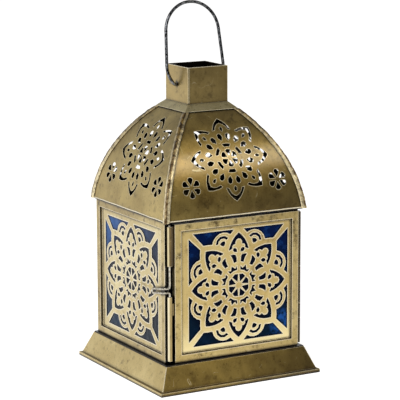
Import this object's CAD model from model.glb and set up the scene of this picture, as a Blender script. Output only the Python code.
import math

import bpy
from mathutils import Matrix, Vector


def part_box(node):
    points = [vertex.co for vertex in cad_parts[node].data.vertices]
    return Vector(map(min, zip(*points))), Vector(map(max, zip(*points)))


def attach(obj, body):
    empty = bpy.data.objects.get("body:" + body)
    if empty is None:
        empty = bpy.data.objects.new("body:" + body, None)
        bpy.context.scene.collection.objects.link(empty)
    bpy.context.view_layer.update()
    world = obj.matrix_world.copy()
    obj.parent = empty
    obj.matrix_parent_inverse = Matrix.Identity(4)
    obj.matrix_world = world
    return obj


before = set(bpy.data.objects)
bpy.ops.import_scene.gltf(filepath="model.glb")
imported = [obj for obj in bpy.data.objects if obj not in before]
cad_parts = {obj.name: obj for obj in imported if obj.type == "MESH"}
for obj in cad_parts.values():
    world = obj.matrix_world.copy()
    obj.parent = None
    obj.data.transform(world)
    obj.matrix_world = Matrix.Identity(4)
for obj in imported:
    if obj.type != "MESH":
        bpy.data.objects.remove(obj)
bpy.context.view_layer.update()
MM = 0.001

# The four corners, each with the signs of its x and y
CORNERS = {"front_left": (-1, -1), "front_right": (1, -1), "back_left": (-1, 1), "back_right": (1, 1)}

# The photograph's camera, fitted to thirty points of the picture. Its place is in metres, its
# turns are in radians, its focal length is in the photograph's pixels and its sensor's width in
# millimetres, and the last two are the least and the greatest distance that it sees, in metres
CAMERA_PLACE = (-0.58861, -1.04915, 0.33739)
CAMERA_YAW = 0.51286
CAMERA_PITCH = -0.18914
CAMERA_ROLL = -0.00289
FOCAL_PIXELS = 1931.54
PHOTO_PIXELS = 400
SENSOR_WIDTH = 36
NEAREST = 0.05
FARTHEST = 50

# The studio, in metres and watts. The paper's front edge is a y
FLOOR_SIZE = 10
PAPER_FRONT = -0.62
LAMPS_AIM = (0, 0, 0.1)
KEY_PLACE = (-1.2, -0.9, 1.1)
KEY_SIZE = 1.0
KEY_WATTS = 18
GLINT_PLACE = (0.98, -1.30, 1.30)
GLINT_SIZE = 0.4
GLINT_WATTS = 4.8

# How far the edges of each kind of part are softened, in millimetres
BASE_EDGE = 0.25
FOLD_EDGE = 0.3
COLLAR_EDGE = 0.15
THIN_EDGE = 0.1
WIRE_EDGE = 0.05

# Places that the finishes follow, in millimetres: the height of each screen's middle and how far
# out its glass lies, the heights between which the door's foot is rubbed, the x between which
# brass dims towards the hinge, the y between which the latch wall's glass greys towards the door,
# and the clear corner of the door's glass
ROSETTE_HEIGHT = 61
GLASS_OUT = 46
DOOR_SHINE_TOP = 45
DOOR_SHINE_FOOT = 24
DIM_START = -25
DIM_FULL = 48
FADE_START = 25
FADE_FULL = -32
CLEAR_CORNER = (35, -46, 33)


# Colours and nodes

def linear(code):
    """An sRGB hex colour as the linear red, green, blue and alpha that a shader takes."""
    parts = [int(code[i:i + 2], 16) / 255 for i in (1, 3, 5)]
    return tuple(p / 12.92 if p <= 0.04045 else ((p + 0.055) / 1.055) ** 2.4 for p in parts) + (1.0,)


def add(tree, kind, sockets=None, out=0, **settings):
    """Adds one node with its settings, fills or links its inputs by name or number, and gives
    back one of its outputs. A Map Range takes its value at 0, the range that it reads at 1 and 2
    and the range that it gives at 3 and 4. A Mix of colours takes its factor at 0 and its colours
    at 6 and 7, and gives the colour at 2."""
    node = tree.nodes.new("ShaderNode" + kind)
    for name, value in settings.items():
        setattr(node, name, value)
    for name, value in (sockets or {}).items():
        if isinstance(value, bpy.types.NodeSocket):
            tree.links.new(value, node.inputs[name])
        else:
            node.inputs[name].default_value = value
    return node.outputs[out] if node.outputs else node


# Camera and studio

def set_camera():
    """The photograph's viewpoint: a long lens 1.2 m away, a hand's breadth above the bail."""
    forward = Vector((
        math.sin(CAMERA_YAW) * math.cos(CAMERA_PITCH),
        math.cos(CAMERA_YAW) * math.cos(CAMERA_PITCH),
        math.sin(CAMERA_PITCH)))
    right = Vector((math.cos(CAMERA_YAW), -math.sin(CAMERA_YAW), 0))
    up = right.cross(forward)
    turned_right = right * math.cos(CAMERA_ROLL) + up * math.sin(CAMERA_ROLL)
    turned_up = up * math.cos(CAMERA_ROLL) - right * math.sin(CAMERA_ROLL)
    data = bpy.data.cameras.new("photo_camera")
    data.sensor_width = SENSOR_WIDTH
    data.lens = FOCAL_PIXELS / PHOTO_PIXELS * SENSOR_WIDTH
    data.clip_start = NEAREST
    data.clip_end = FARTHEST
    camera = bpy.data.objects.new("photo_camera", data)
    bpy.context.scene.collection.objects.link(camera)
    turn = Matrix((turned_right, turned_up, -forward)).transposed().to_4x4()
    camera.matrix_world = Matrix.Translation(CAMERA_PLACE) @ turn
    bpy.context.scene.camera = camera


def soft_box(name, place, size, watts, tint="#ffffff"):
    """A square soft box that faces the lantern's middle."""
    data = bpy.data.lights.new(name, "AREA")
    data.size = size
    data.energy = watts
    data.color = linear(tint)[:3]
    lamp = bpy.data.objects.new(name, data)
    bpy.context.scene.collection.objects.link(lamp)
    lamp.location = place
    lamp.rotation_mode = "QUATERNION"
    lamp.rotation_quaternion = (Vector(place) - Vector(LAMPS_AIM)).to_track_quat("Z", "Y")


def light_room():
    """The surroundings that the brass and the glass mirror: a white sweep behind the lantern that
    greys as it rises, and before it a dim room with a paler ceiling. The camera sees white."""
    world = bpy.data.worlds.new("sweep_and_room")
    bpy.context.scene.world = world
    world.use_nodes = True
    tree = world.node_tree
    tree.nodes.clear()
    # The way that a ray goes, as shares of its length. Each level is a share of white
    way = add(tree, "TexCoord", out="Generated")
    height = add(tree, "SeparateXYZ", {0: way}, out="Z")
    depth = add(tree, "SeparateXYZ", {0: way}, out="Y")
    sweep = add(tree, "MapRange", {0: height, 1: 0.1, 2: 0.5, 3: 1.0, 4: 0.24})
    low_room = add(tree, "MapRange", {0: height, 1: 0.0, 2: 0.15, 3: 0.36, 4: 0.17})
    ceiling = add(tree, "MapRange", {0: height, 1: 0.7, 2: 0.95, 3: 0.0, 4: 0.16})
    room = add(tree, "Math", {0: low_room, 1: ceiling}, operation="ADD")
    behind = add(tree, "MapRange", {0: depth, 1: -0.35, 2: 0.2})
    level = add(tree, "Mix", {0: behind, 2: room, 3: sweep}, data_type="FLOAT")
    by_camera = add(tree, "LightPath", out="Is Camera Ray")
    level = add(tree, "Math", {0: level, 1: by_camera}, operation="MAXIMUM")
    light = add(tree, "Background", {"Color": linear("#ffffff"), "Strength": level})
    add(tree, "OutputWorld", {"Surface": light})


def lay_paper():
    """A sheet of matt white paper, a little self-lit so that it stays white round the shadow. It
    ends a forearm's length before the lantern, so the collar mirrors the dim room."""
    bpy.ops.mesh.primitive_plane_add(size=FLOOR_SIZE, location=(0, FLOOR_SIZE / 2 + PAPER_FRONT, 0))
    floor = bpy.context.object
    floor.name = "floor"
    paper = bpy.data.materials.new("white_paper")
    paper.use_nodes = True
    tree = paper.node_tree
    tree.nodes.clear()
    by_camera = add(tree, "LightPath", out="Is Camera Ray")
    by_metal = add(tree, "LightPath", out="Is Glossy Ray")
    by_glass = add(tree, "LightPath", out="Is Transmission Ray")
    # The shares of white that the paper adds to its own, for the camera and in what mirrors it
    mirrored = add(tree, "Math", {0: by_metal, 1: by_glass}, operation="MAXIMUM")
    mirrored = add(tree, "Math", {0: mirrored, 1: 0.6}, operation="MULTIPLY")
    glow = add(tree, "Math", {0: by_camera, 1: 0.8, 2: mirrored}, operation="MULTIPLY_ADD")
    white = add(tree, "BsdfDiffuse", {"Color": linear("#efeeec")})
    lift = add(tree, "Emission", {"Color": linear("#ffffff"), "Strength": glow})
    both = add(tree, "AddShader", {0: white, 1: lift})
    add(tree, "OutputMaterial", {"Surface": both})
    floor.data.materials.append(paper)


def set_studio():
    """White surroundings and paper, a large soft box over the viewer's left shoulder, and a small
    warm one on the right that the roof's front mirrors."""
    bpy.context.scene.view_settings.view_transform = "Standard"
    light_room()
    lay_paper()
    soft_box("key", KEY_PLACE, KEY_SIZE, KEY_WATTS)
    soft_box("glint", GLINT_PLACE, GLINT_SIZE, GLINT_WATTS, "#fff9ea")


# Finishes

def new_finish(name):
    """An empty material, its tree, and the place on the lantern in millimetres."""
    material = bpy.data.materials.new(name)
    material.use_nodes = True
    tree = material.node_tree
    tree.nodes.clear()
    place = add(tree, "TexCoord", out="Object")
    return material, tree, add(tree, "Mapping", {"Vector": place, "Scale": (1 / MM, 1 / MM, 1 / MM)})


def cover_between(tree, colour, measure, start, full, amount, tint):
    """Covers a colour with a tint that is absent where a measure is at start and has its full
    amount where the measure is at full."""
    cover = add(tree, "MapRange", {0: measure, 1: start, 2: full, 3: 0.0, 4: amount})
    return add(tree, "Mix", {0: cover, 6: colour, 7: linear(tint)}, out=2, data_type="RGBA")


def tarnish(tree, mm, seed, pale, deep, brown, stain):
    """The skin of sheet brass that was polished once and then left: a slow drift of tarnish with
    clouds in it, marks of wiping, brown specks, brown stains and a few hairline scratches. It gives
    the colour, and the noises of the clouds, the wiping and the grit."""
    # How wide the drift, a cloud and a stain are, and how far a scratch runs before it bends
    drift_mm = 38
    cloud_mm = 9
    blot_mm = 4.5
    scratch_mm = 13
    # A cloth's marks and the specks are finer in the brass, and are drawn so wide that they show
    wipe_mm = 1.1
    wipe_squeeze = 0.06
    grit_mm = 0.8
    drift = add(tree, "TexNoise", {
        "Vector": mm, "W": seed, "Scale": 1 / drift_mm, "Detail": 2.0}, noise_dimensions="4D")
    clouds = add(tree, "TexNoise", {
        "Vector": mm, "W": seed + 7, "Scale": 1 / cloud_mm, "Detail": 4.0, "Roughness": 0.62},
        noise_dimensions="4D")
    along = add(tree, "Mapping", {"Vector": mm, "Scale": (1, 1, wipe_squeeze)})
    wipes = add(tree, "TexNoise", {
        "Vector": along, "W": seed, "Scale": 1 / wipe_mm, "Detail": 2.0}, noise_dimensions="4D")
    tone = add(tree, "MapRange", {0: drift, 1: 0.35, 2: 0.65, 3: 0.1, 4: 0.65})
    cloudy = add(tree, "MapRange", {0: clouds, 1: 0.3, 2: 0.7, 3: -0.2, 4: 0.34})
    tone = add(tree, "Math", {0: tone, 1: cloudy}, operation="ADD")
    wiped = add(tree, "MapRange", {0: wipes, 1: 0.3, 2: 0.7, 3: -0.07, 4: 0.07})
    tone = add(tree, "Math", {0: tone, 1: wiped}, operation="ADD", use_clamp=True)
    colour = add(tree, "Mix", {0: tone, 6: linear(deep), 7: linear(pale)}, out=2, data_type="RGBA")
    # Brown specks where the lacquer has let go, denser in the dark clouds
    grit = add(tree, "TexNoise", {
        "Vector": mm, "W": seed + 21, "Scale": 1 / grit_mm, "Detail": 2.0, "Roughness": 0.6},
        noise_dimensions="4D")
    specks = add(tree, "MapRange", {0: grit, 1: 0.6, 2: 0.72, 3: 0.0, 4: 0.8})
    open_lacquer = add(tree, "MapRange", {0: clouds, 1: 0.62, 2: 0.42, 3: 0.25, 4: 1.0})
    specks = add(tree, "Math", {0: specks, 1: open_lacquer}, operation="MULTIPLY")
    colour = add(tree, "Mix", {0: specks, 6: colour, 7: linear(brown)}, out=2, data_type="RGBA")
    # Wider brown stains with soft borders, larger where there is more stain
    blot = add(tree, "TexNoise", {
        "Vector": mm, "W": seed + 13, "Scale": 1 / blot_mm, "Detail": 3.0, "Roughness": 0.68},
        noise_dimensions="4D")
    colour = cover_between(tree, colour, blot, 0.6 - 0.09 * stain, 0.7, stain, brown)
    # Hairline scratches, bright where they cut through the tarnish
    path = add(tree, "TexNoise", {
        "Vector": mm, "W": seed + 3, "Scale": 1 / scratch_mm, "Detail": 1.0}, noise_dimensions="4D")
    path = add(tree, "Math", {0: path, 1: 0.5, 2: 0.004}, operation="COMPARE")
    where = add(tree, "MapRange", {0: clouds, 1: 0.54, 2: 0.6, 3: 0.0, 4: 0.45})
    scratch = add(tree, "Math", {0: path, 1: where}, operation="MULTIPLY")
    colour = add(tree, "Mix", {0: scratch, 6: colour, 7: linear("#e9dcae")}, out=2, data_type="RGBA")
    return colour, clouds, wipes, grit


def pack_jamb(tree, mm, colour):
    """Soot packed in the gap beside the latch tubes, at the front edge of the left wall's frame."""
    # How far in from the frame's outer face and from its front edge the soot starts and is full
    face_start = 0.05
    face_full = 0.25
    front_start = 0.8
    front_full = 0.2
    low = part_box("frame_left")[0] / MM
    across = add(tree, "SeparateXYZ", {0: mm}, out="X")
    inward = add(tree, "SeparateXYZ", {0: mm}, out="Y")
    past_face = add(tree, "MapRange", {0: across, 1: low.x + face_start, 2: low.x + face_full})
    at_front = add(tree, "MapRange", {0: inward, 1: low.y + front_start, 2: low.y + front_full})
    packed = add(tree, "Math", {0: past_face, 1: at_front}, operation="MULTIPLY")
    return add(tree, "Mix", {0: packed, 6: colour, 7: linear("#060503")}, out=2, data_type="RGBA")


def aged_brass(name, pale, deep, brown, seed, sooty=False, dim=0.0, rim=0.55, rubbed="#f6e9c2",
               edges=(0.998, 0.95), jamb=False, foot_shine=0.0, front_dim=0.0, dirt=0.97,
               nooks=(0.7, 0.97), stain=0.5, strip=""):
    """Sheet brass, cut, folded and soldered by hand, its lacquer worn: satin metal under cloudy
    tarnish, with dirt in the corners and edges rubbed bright. With dim, the tarnish grows towards
    the hinge, with front_dim on faces that look forwards, and with foot_shine the foot is rubbed
    pale. A strip is the colour of a tube's outer side. Sooty brass is black on its inner face. The
    rim is how far in from an edge, in millimetres, the rubbing reaches. The edges and the nooks are
    the readings between which the rubbing and the dirt come in."""
    # How wide a dent is, and how far a corner's dirt reaches
    dent_mm = 16
    nook_mm = 2.2
    # How far in from a tube's outer side its bright strip starts and is full
    strip_start = 0.8
    strip_full = 0.4
    # How far each mark rises, in millimetres
    dent_rise = 0.22
    wipe_rise = 0.014
    grit_rise = 0.012
    material, tree, mm = new_finish(name)
    colour, clouds, wipes, grit = tarnish(tree, mm, seed, pale, deep, brown, stain)
    across = add(tree, "SeparateXYZ", {0: mm}, out="X")
    height = add(tree, "SeparateXYZ", {0: mm}, out="Z")
    turned = add(tree, "TexCoord", out="Normal")
    if foot_shine:
        colour = cover_between(
            tree, colour, height, DOOR_SHINE_TOP, DOOR_SHINE_FOOT, foot_shine, "#f8e6ac")
    if dim:
        colour = cover_between(tree, colour, across, DIM_START, DIM_FULL, dim, "#1e160a")
    if strip:
        # The side of a tube that hands and the latch keep bright
        tube_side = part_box("latch_tube_low")[0].x / MM
        colour = cover_between(
            tree, colour, across, tube_side + strip_start, tube_side + strip_full, 1.0, strip)
    if front_dim:
        facing_us = add(tree, "SeparateXYZ", {0: turned}, out="Y")
        colour = cover_between(tree, colour, facing_us, -0.5, -0.9, front_dim, "#2a1e0a")
    # Dirt in the corners
    nook = add(tree, "AmbientOcclusion", {"Distance": nook_mm * MM}, out="AO", samples=12)
    colour = cover_between(tree, colour, nook, nooks[1], nooks[0], dirt, "#1b1409")
    if jamb:
        colour = pack_jamb(tree, mm, colour)
    # Edges rubbed bright, but not the inner corners
    rounded = add(tree, "Bevel", {"Radius": rim * MM}, samples=8)
    flat = add(tree, "NewGeometry", out="True Normal")
    facing = add(tree, "VectorMath", {0: rounded, 1: flat}, out="Value", operation="DOT_PRODUCT")
    edge = add(tree, "MapRange", {0: facing, 1: edges[0], 2: edges[1], 3: 0.0, 4: 1.0})
    reached = add(tree, "MapRange", {0: nook, 1: 0.86, 2: 0.97})
    edge = add(tree, "Math", {0: edge, 1: reached}, operation="MULTIPLY")
    colour = add(tree, "Mix", {0: edge, 6: colour, 7: linear(rubbed)}, out=2, data_type="RGBA")
    # Fine scratches on a rubbed edge scatter the light, so it looks less metallic there
    metal = add(tree, "MapRange", {0: edge, 1: 0.0, 2: 1.0, 3: 1.0, 4: 0.4})
    if sooty:
        flat_place = add(tree, "VectorMath", {0: mm, 1: (1, 1, 0)}, operation="MULTIPLY")
        outward = add(tree, "VectorMath", {0: flat_place}, operation="NORMALIZE")
        out_face = add(
            tree, "VectorMath", {0: outward, 1: turned}, out="Value", operation="DOT_PRODUCT")
        colour = cover_between(tree, colour, out_face, -0.35, -0.6, 0.95, "#100d09")
    # Satin sheen, shallow dents, wiping marks and grit under a worn coat of lacquer
    gloss = add(tree, "MapRange", {0: clouds, 1: 0.3, 2: 0.7, 3: 0.29, 4: 0.45})
    dents = add(tree, "TexNoise", {
        "Vector": mm, "W": seed + 31, "Scale": 1 / dent_mm, "Detail": 1.0, "Roughness": 0.4},
        noise_dimensions="4D")
    rise = add(tree, "Math", {0: dents, 1: dent_rise}, operation="MULTIPLY")
    rise = add(tree, "Math", {0: wipes, 1: wipe_rise, 2: rise}, operation="MULTIPLY_ADD")
    rise = add(tree, "Math", {0: grit, 1: grit_rise, 2: rise}, operation="MULTIPLY_ADD")
    bump = add(tree, "Bump", {"Height": rise, "Strength": 1.0, "Distance": MM})
    skin = add(tree, "BsdfPrincipled", {
        "Base Color": colour, "Metallic": metal, "Roughness": gloss,
        "Coat Weight": 0.5, "Coat Roughness": 0.18, "Normal": bump})
    add(tree, "OutputMaterial", {"Surface": skin})
    return material


def soft_solder(name):
    """Soft solder, wiped on hot over a hip: a lumpy run between two rubbed edges, mottled, brown
    with flux under the collar and silvery with tin at the eaves."""
    lump_mm = 2.6
    flux_mm = 1.2
    flux_rise = 0.4
    # Heights between which the run goes from brown to silvery, and its edges from dull to rubbed
    brown_height = 160
    silver_height = 120
    dull_height = 165
    bright_height = 125
    # How far from the hip's plane a rubbed edge starts and is full
    edge_start = 1.2
    edge_full = 1.6
    material, tree, mm = new_finish(name)
    lumps = add(tree, "TexNoise", {"Vector": mm, "Scale": 1 / lump_mm, "Detail": 3.0, "Roughness": 0.6})
    flux = add(tree, "TexNoise", {
        "Vector": mm, "W": 17, "Scale": 1 / flux_mm, "Detail": 3.0, "Roughness": 0.6},
        noise_dimensions="4D")
    height = add(tree, "SeparateXYZ", {0: mm}, out="Z")
    low = add(tree, "MapRange", {0: height, 1: brown_height, 2: silver_height})
    middle = add(tree, "Mix", {
        0: low, 6: linear("#94793f"), 7: linear("#cdb684")}, out=2, data_type="RGBA")
    dark = add(tree, "Mix", {
        0: low, 6: linear("#3c2c12"), 7: linear("#5e431f")}, out=2, data_type="RGBA")
    mottle = add(tree, "MapRange", {0: lumps, 1: 0.42, 2: 0.6})
    colour = add(tree, "Mix", {0: mottle, 6: dark, 7: middle}, out=2, data_type="RGBA")
    # The rubbed edges lie at both sides of the hip's plane, where |x| and |y| are the same
    both = add(tree, "VectorMath", {0: mm}, operation="ABSOLUTE")
    across_x = add(tree, "SeparateXYZ", {0: both}, out="X")
    across_y = add(tree, "SeparateXYZ", {0: both}, out="Y")
    across = add(tree, "Math", {0: across_x, 1: across_y}, operation="SUBTRACT")
    across = add(tree, "Math", {0: across}, operation="ABSOLUTE")
    edge = add(tree, "MapRange", {0: across, 1: edge_start, 2: edge_full})
    rubbed = add(tree, "MapRange", {0: height, 1: dull_height, 2: bright_height, 3: 0.3, 4: 1.0})
    edge = add(tree, "Math", {0: edge, 1: rubbed}, operation="MULTIPLY")
    worn = add(tree, "MapRange", {0: lumps, 1: 0.34, 2: 0.5, 3: 0.35, 4: 1.0})
    edge = add(tree, "Math", {0: edge, 1: worn}, operation="MULTIPLY")
    colour = add(tree, "Mix", {0: edge, 6: colour, 7: linear("#f4e4b8")}, out=2, data_type="RGBA")
    colour = cover_between(tree, colour, flux, 0.6, 0.68, 0.75, "#241a0c")
    bump = add(tree, "Bump", {"Height": flux, "Strength": 0.6, "Distance": flux_rise * MM})
    # Flux and dross leave the run half metallic
    skin = add(tree, "BsdfPrincipled", {
        "Base Color": colour, "Metallic": 0.5, "Roughness": 0.3, "Normal": bump})
    add(tree, "OutputMaterial", {"Surface": skin})
    return material


def cobalt_glass(name, top, foot, clear, middle, fade=0.0):
    """Cobalt soda glass, rolled by hand: a deep glossy blue, clearer in slow streaks and at one
    thin corner, rippled, smoked behind the rosette and dark where the brass lies against it. With
    fade, it greys towards the door."""
    streak_mm = 5
    swirl_mm = 2.2
    ripple_mm = 4.5
    ripple_rise = 0.6
    nook_mm = 2.2
    # Heights between which the glass goes from its foot's colour to its top's
    low_height = 40
    high_height = 88
    # How far from the clear corner's middle, and from the rosette's, each patch ends and is full
    clear_full = 5
    clear_end = 10
    smoke_end = 37
    smoke_full = 31
    material, tree, mm = new_finish(name)
    height = add(tree, "SeparateXYZ", {0: mm}, out="Z")
    up = add(tree, "MapRange", {0: height, 1: low_height, 2: high_height})
    colour = add(tree, "Mix", {0: up, 6: linear(foot), 7: linear(top)}, out=2, data_type="RGBA")
    # Streaks from rolling, and the thin corner by the hinge's foot
    streaks = add(tree, "TexNoise", {
        "Vector": mm, "W": 11, "Scale": 1 / streak_mm, "Detail": 3.0, "Roughness": 0.6},
        noise_dimensions="4D")
    streaks = add(tree, "MapRange", {0: streaks, 1: 0.5, 2: 0.72})
    away = add(tree, "VectorMath", {0: mm, 1: CLEAR_CORNER}, out="Value", operation="DISTANCE")
    thin = add(tree, "MapRange", {0: away, 1: clear_full, 2: clear_end, 3: 1.0, 4: 0.0})
    swirl = add(tree, "TexNoise", {
        "Vector": mm, "W": 5, "Scale": 1 / swirl_mm, "Detail": 2.0}, noise_dimensions="4D")
    swirl = add(tree, "MapRange", {0: swirl, 1: 0.38, 2: 0.6})
    thin = add(tree, "Math", {0: thin, 1: swirl}, operation="MULTIPLY")
    high = add(tree, "MapRange", {0: up, 1: 0.0, 2: 1.0, 3: 0.08, 4: 0.5})
    light = add(tree, "Math", {
        0: streaks, 1: high, 2: thin}, operation="MULTIPLY_ADD", use_clamp=True)
    colour = add(tree, "Mix", {0: light, 6: colour, 7: linear(clear)}, out=2, data_type="RGBA")
    if fade:
        towards_back = add(tree, "SeparateXYZ", {0: mm}, out="Y")
        colour = cover_between(tree, colour, towards_back, FADE_START, FADE_FULL, fade, "#0c161c")
    # Smoke behind the rosette's small holes, and the shadow along the brass
    from_middle = add(tree, "VectorMath", {0: mm, 1: middle}, out="Value", operation="DISTANCE")
    colour = cover_between(tree, colour, from_middle, smoke_end, smoke_full, 0.88, "#04080f")
    nook = add(tree, "AmbientOcclusion", {"Distance": nook_mm * MM}, out="AO", samples=16)
    colour = cover_between(tree, colour, nook, 0.985, 0.9, 0.96, "#010205")
    ripple = add(tree, "TexNoise", {
        "Vector": mm, "W": 29, "Scale": 1 / ripple_mm, "Detail": 1.5}, noise_dimensions="4D")
    bump = add(tree, "Bump", {"Height": ripple, "Strength": 0.7, "Distance": ripple_rise * MM})
    # No candle burns behind the glass, so it is seen by what it mirrors and hardly lets light through
    skin = add(tree, "BsdfPrincipled", {
        "Base Color": colour, "Roughness": 0.08, "IOR": 1.52, "Specular IOR Level": 0.2,
        "Specular Tint": linear("#1c3c98"), "Transmission Weight": 0.05, "Normal": bump})
    add(tree, "OutputMaterial", {"Surface": skin})
    return material


def drawn_wire(name, pale, dark, roughness):
    """Steel wire, drawn through a die: a smooth grey skin, half glossy, with darker mill scale in
    patches along it."""
    # Scale and pits are finer on the wire, and are drawn as wide as the render can show
    scale_mm = 1.6
    scuff_mm = 0.8
    scuff_rise = 0.05
    material, tree, mm = new_finish(name)
    scale = add(tree, "TexNoise", {"Vector": mm, "Scale": 1 / scale_mm, "Detail": 3.0, "Roughness": 0.6})
    scuffs = add(tree, "TexNoise", {
        "Vector": mm, "W": 5, "Scale": 1 / scuff_mm, "Detail": 2.0, "Roughness": 0.6},
        noise_dimensions="4D")
    bare = add(tree, "MapRange", {0: scale, 1: 0.4, 2: 0.62})
    colour = add(tree, "Mix", {0: bare, 6: linear(dark), 7: linear(pale)}, out=2, data_type="RGBA")
    colour = cover_between(tree, colour, scuffs, 0.58, 0.7, 0.6, dark)
    gloss = add(tree, "MapRange", {0: scale, 1: 0.3, 2: 0.7, 3: roughness - 0.06, 4: roughness + 0.1})
    bump = add(tree, "Bump", {"Height": scuffs, "Strength": 0.4, "Distance": scuff_rise * MM})
    skin = add(tree, "BsdfPrincipled", {
        "Base Color": colour, "Metallic": 1.0, "Roughness": gloss, "Normal": bump})
    add(tree, "OutputMaterial", {"Surface": skin})
    return material


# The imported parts

def dress(name, material, edge=0.0):
    """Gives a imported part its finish, and where an edge radius is given, in millimetres, joins its
    triangles and softens its edges by that much."""
    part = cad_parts[name]
    part.data.materials.clear()
    part.data.materials.append(material)
    part.data.polygons.foreach_set("material_index", [0] * len(part.data.polygons))
    if not edge:
        return
    flat_within = math.radians(0.3)
    edge_from = math.radians(30)
    join_corners(part)
    flat = part.modifiers.new("flat", "DECIMATE")
    flat.decimate_type = "DISSOLVE"
    flat.angle_limit = flat_within
    soft = part.modifiers.new("soft", "BEVEL")
    soft.width = edge * MM
    soft.segments = 2
    soft.limit_method = "ANGLE"
    soft.angle_limit = edge_from
    even = part.modifiers.new("even", "WEIGHTED_NORMAL")
    even.weight = 100
    even.keep_sharp = False


def join_corners(part):
    """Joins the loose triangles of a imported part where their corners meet, and shades it smooth."""
    reach = 0.002 * MM
    part.data.polygons.foreach_set("use_smooth", [True] * len(part.data.polygons))
    join = part.modifiers.new("join", "WELD")
    join.merge_threshold = reach


def wipe_solder(name, material):
    """Turns a hip's even cap into a wiped run of solder, lumpy and rounded at its ends."""
    grain_size = 0.25 * MM
    lump_size = 3.5 * MM
    lump_height = 0.6 * MM
    dress(name, material)
    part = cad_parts[name]
    join_corners(part)
    grain = part.modifiers.new("grain", "REMESH")
    grain.mode = "VOXEL"
    grain.voxel_size = grain_size
    grain.use_smooth_shade = True
    lumps = bpy.data.textures.get("solder_lumps") or bpy.data.textures.new("solder_lumps", "CLOUDS")
    lumps.noise_scale = lump_size
    lumps.noise_depth = 1
    swell = part.modifiers.new("swell", "DISPLACE")
    swell.texture = lumps
    swell.texture_coords = "LOCAL"
    swell.strength = lump_height
    swell.mid_level = 0.5
    ease = part.modifiers.new("ease", "SMOOTH")
    ease.iterations = 3


def dress_body():
    """The base, the roof, the walls and what lies inside them."""
    # Dull olive gold, darker towards the hinge
    base_front = aged_brass("base_brass_front", "#b69c54", "#806a34", "#3e3014", 1, dim=0.6)
    # Pale straw, from the sheets that were wiped more
    base_side = aged_brass("base_brass_side", "#e2cd90", "#b8a060", "#5e4a22", 5)
    # Brown gold, darker towards the hinge, its inner face black with soot
    roof_front = aged_brass(
        "roof_brass_front", "#b8a05c", "#846c34", "#33270f", 23, sooty=True, dim=0.5, nooks=(0.8, 0.99))
    # Warm gold, its inner face black with soot
    roof_side = aged_brass(
        "roof_brass_side", "#d2bb78", "#9c8549", "#46371a", 27, sooty=True, nooks=(0.8, 0.99))
    # Pale channel with folds rubbed nearly white, stained brown; beside the latch, soot in the gap
    channel = {
        "pale": "#d4c088", "deep": "#97814a", "brown": "#40300f", "seed": 9, "rim": 0.8,
        "rubbed": "#fff2cf", "edges": (0.9995, 0.975), "stain": 0.8}
    latch_wall_brass = aged_brass("latch_wall_brass_satin", jamb=True, **channel)
    wall_brass = aged_brass("wall_brass_satin", **channel)
    # Pale brass lace with every cut edge bright
    wall_lace = aged_brass(
        "wall_lace_rubbed", "#ecdeb0", "#bca66c", "#4c3818", 11,
        rim=1.1, rubbed="#fff8e4", edges=(0.9998, 0.985))
    # Brass that candle smoke has turned nearly black
    smoked_brass = aged_brass(
        "inside_brass_smoked", "#1c160b", "#100c06", "#080603", 47, rim=0.2, rubbed="#2a2010")
    # The latch wall's glass is a paler blue that greys towards the door; the others are deep blue
    wall_glass = cobalt_glass(
        "cobalt_glass_wall", "#265a9e", "#0e3048", "#4c80c6", (-GLASS_OUT, 0, ROSETTE_HEIGHT), fade=0.9)
    far_glass = cobalt_glass(
        "cobalt_glass_back", "#081d4c", "#08202f", "#2464b4", (0, GLASS_OUT, ROSETTE_HEIGHT))
    hinge_glass = cobalt_glass(
        "cobalt_glass_hinge_side", "#081d4c", "#08202f", "#2464b4", (GLASS_OUT, 0, ROSETTE_HEIGHT))

    for side, base_brass, roof_brass in (
            ("front", base_front, roof_front), ("back", base_front, roof_front),
            ("left", base_side, roof_side), ("right", base_side, roof_side)):
        dress("base_" + side, base_brass, BASE_EDGE)
        dress("roof_" + side, roof_brass, THIN_EDGE)
    for wall, channel_brass, glass in (
            ("left", latch_wall_brass, wall_glass), ("back", wall_brass, far_glass),
            ("right", wall_brass, hinge_glass)):
        dress("frame_" + wall, channel_brass, FOLD_EDGE)
        dress("screen_" + wall, wall_lace, THIN_EDGE)
        dress("glass_" + wall, glass)
    dress("floor_plate", smoked_brass, THIN_EDGE)
    dress("eave_frame", smoked_brass, THIN_EDGE)


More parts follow.
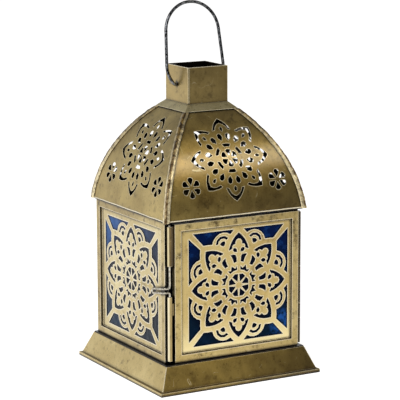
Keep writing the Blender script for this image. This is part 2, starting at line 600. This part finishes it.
def dress_door():
    """The door, its latch's tubes and the knuckles of its hinge."""
    # Like the walls' channel, but more golden and a little darker towards the hinge
    door_brass = aged_brass(
        "door_brass_satin", "#e0ca8c", "#a88f50", "#40300f", 15,
        dim=0.15, rim=0.8, rubbed="#fff0c8", edges=(0.9995, 0.975), stain=0.85)
    # The door's screen, golden, every cut edge bright and its foot rubbed by the hand that opens it
    door_lace = aged_brass(
        "door_lace_rubbed", "#e2ca88", "#b69a58", "#5c4018", 19,
        rim=1.1, rubbed="#fff4d4", edges=(0.9998, 0.985), foot_shine=0.9)
    # The lower tube is wiped clean, the upper one brown with flux; both have a bright outer side
    tube_pale = aged_brass(
        "tube_brass_pale", "#ccb47c", "#98824e", "#4a381a", 41, dirt=0.3, strip="#f0e4c0")
    tube_brown = aged_brass(
        "tube_brass_brown", "#8a7242", "#4e3c1c", "#1a1208", 42, dirt=0.6, strip="#d8c89c")
    # Brass blackened by the torch that soldered the hinge
    knuckle_brass = aged_brass(
        "knuckle_brass_blackened", "#5c4c28", "#2a2010", "#120d06", 43, rubbed="#8a7648")
    # Deep blue, nearly black where nothing lights it, with one clear corner
    door_glass = cobalt_glass(
        "cobalt_glass_door", "#031a48", "#08202f", "#2860b4", (0, -GLASS_OUT, ROSETTE_HEIGHT))

    dress("door_frame", door_brass, FOLD_EDGE)
    dress("door_screen", door_lace, THIN_EDGE)
    dress("door_glass", door_glass)
    for name in ("body_knuckle_low", "body_knuckle_high", "door_knuckle_low", "door_knuckle_high"):
        dress(name, knuckle_brass, THIN_EDGE)
    dress("latch_tube_low", tube_pale, THIN_EDGE)
    dress("latch_tube_high", tube_brown, THIN_EDGE)


def dress_top_and_wires():
    """The collar, its skirt, the candle's cup, and every wire."""
    # The skirt is rubbed nearly white at the sides and is brown on its front
    skirt_brass = aged_brass(
        "skirt_brass_rubbed", "#fbeebc", "#ccb878", "#3e3014", 33, sooty=True, front_dim=0.7)
    # Brass by the flame: dull gold outside, black inside
    collar_brass = aged_brass(
        "collar_brass_sooty", "#bda464", "#8c763e", "#3e3014", 35, sooty=True, front_dim=0.4)
    # Bright steel, polished by use, and steel with most of its black mill scale left
    bright = drawn_wire("latch_wire_bright", "#dcd8cc", "#a39c8c", 0.22)
    dark = drawn_wire("bail_wire_scaled", "#85878b", "#0c0c0e", 0.26)

    dress("collar_skirt", skirt_brass, COLLAR_EDGE)
    dress("collar", collar_brass, COLLAR_EDGE)
    dress("candle_cup", collar_brass, THIN_EDGE)
    dress("hinge_pin", bright, THIN_EDGE)
    dress("latch_hook", bright, WIRE_EDGE)
    dress("bail_handle", dark, WIRE_EDGE)


# Pieces of the scene

def roll_hem(material):
    """The roof's foot is turned up into a thin hem, a bright line above the dark gap."""
    stands_out = 0.1 * MM
    hangs_down = 0.4 * MM
    roof_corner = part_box("roof_front")[0]
    half = stands_out - roof_corner.y
    height = roof_corner.z - hangs_down
    deep = 0.6 * MM
    tall = 0.75 * MM
    rounding = 0.2 * MM
    waver_length = 14 * MM
    waver_height = 0.45 * MM
    bpy.ops.object.select_all(action="DESELECT")
    bpy.ops.mesh.primitive_plane_add(size=2 * half, location=(0, 0, height))
    hem = bpy.context.object
    hem.name = "eave_hem"
    # The plane becomes a thin square frame, and the frame an upright band
    bpy.ops.object.mode_set(mode="EDIT")
    bpy.ops.mesh.select_all(action="SELECT")
    bpy.ops.mesh.inset(thickness=deep)
    bpy.ops.mesh.delete(type="FACE")
    bpy.ops.mesh.select_all(action="SELECT")
    bpy.ops.mesh.extrude_region_move(TRANSFORM_OT_translate={"value": (0, 0, tall)})
    bpy.ops.mesh.select_all(action="SELECT")
    bpy.ops.mesh.normals_make_consistent(inside=False)
    bpy.ops.mesh.select_all(action="DESELECT")
    bpy.ops.mesh.edges_select_sharp(sharpness=math.radians(60))
    bpy.ops.mesh.bevel(offset=rounding, segments=3, affect="EDGES")
    bpy.ops.mesh.select_all(action="DESELECT")
    bpy.ops.object.mode_set(mode="OBJECT")
    for long_edge in hem.data.edges:
        start, end = (hem.data.vertices[v].co for v in long_edge.vertices)
        long_edge.select = (start - end).length > half
    bpy.ops.object.mode_set(mode="EDIT")
    bpy.ops.mesh.select_mode(type="EDGE")
    bpy.ops.mesh.subdivide(number_cuts=32)
    bpy.ops.object.mode_set(mode="OBJECT")
    bpy.ops.object.transform_apply(location=True, rotation=True, scale=True)
    # Folded by hand, so the line wavers a little
    waver = bpy.data.textures.new("hem_waver", "CLOUDS")
    waver.noise_scale = waver_length
    wave = hem.modifiers.new("wave", "DISPLACE")
    wave.texture = waver
    wave.texture_coords = "LOCAL"
    wave.direction = "Z"
    wave.strength = waver_height
    wave.mid_level = 0.5
    bpy.ops.object.modifier_apply(modifier="wave")
    bpy.ops.object.shade_smooth_by_angle(angle=math.radians(40))
    hem.data.materials.append(material)
    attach(hem, "lantern")


def drop_solder(corner, material):
    """A rounded end of solder where a hip runs up under the collar's skirt."""
    side, ahead = CORNERS[corner]
    radius = 1.6 * MM
    below_middle = 0.5 * MM
    foot_inset = 0.2 * MM
    unevenness = 0.1 * MM
    down_the_hip = 1.07 * MM
    below_top = 0.85 * MM
    hip_low, hip_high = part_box("hip_" + corner)
    out = min(abs(hip_low.x), abs(hip_high.x)) + down_the_hip
    height = hip_high.z - below_top
    roof_slope = math.radians(36)
    flattened_shares = (1.5, 1.0, 0.62)
    bpy.ops.object.select_all(action="DESELECT")
    bpy.ops.mesh.primitive_uv_sphere_add(segments=24, ring_count=12, radius=radius, location=(0, 0, 0))
    drop = bpy.context.object
    drop.name = "solder_drop_" + corner
    bpy.ops.object.mode_set(mode="EDIT")
    bpy.ops.mesh.select_all(action="SELECT")
    bpy.ops.transform.resize(value=flattened_shares)
    # Its flat underside lies on the hip
    bpy.ops.mesh.select_all(action="SELECT")
    bpy.ops.mesh.bisect(
        plane_co=(0, 0, -below_middle), plane_no=(0, 0, 1), clear_inner=True, use_fill=True)
    bpy.ops.mesh.inset(thickness=foot_inset)
    bpy.ops.mesh.select_all(action="SELECT")
    bpy.ops.transform.vertex_random(offset=unevenness, seed=7)
    bpy.ops.mesh.vertices_smooth(factor=0.5, repeat=2)
    bpy.ops.object.mode_set(mode="OBJECT")
    # Tipped with the roof's slope there, and turned to its corner
    turn = Matrix.Rotation(math.atan2(ahead, side), 4, "Z") @ Matrix.Rotation(roof_slope, 4, "Y")
    drop.data.transform(Matrix.Translation((side * out, ahead * out, height)) @ turn)
    bpy.ops.object.shade_smooth()
    drop.data.materials.append(material)
    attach(drop, "lantern")


set_camera()
set_studio()
dress_body()
dress_door()
dress_top_and_wires()
# The hem's brass is rubbed nearly white by cloths and sleeves
hem_brass = aged_brass(
    "hem_brass_rubbed", "#f2e4b8", "#cdb878", "#5c4520", 53,
    rim=1.0, rubbed="#fff4d8", edges=(0.9998, 0.985), dirt=0.3)
roll_hem(hem_brass)
solder = soft_solder("hip_solder_wiped")
for corner in CORNERS:
    wipe_solder("hip_" + corner, solder)
    drop_solder(corner, solder)
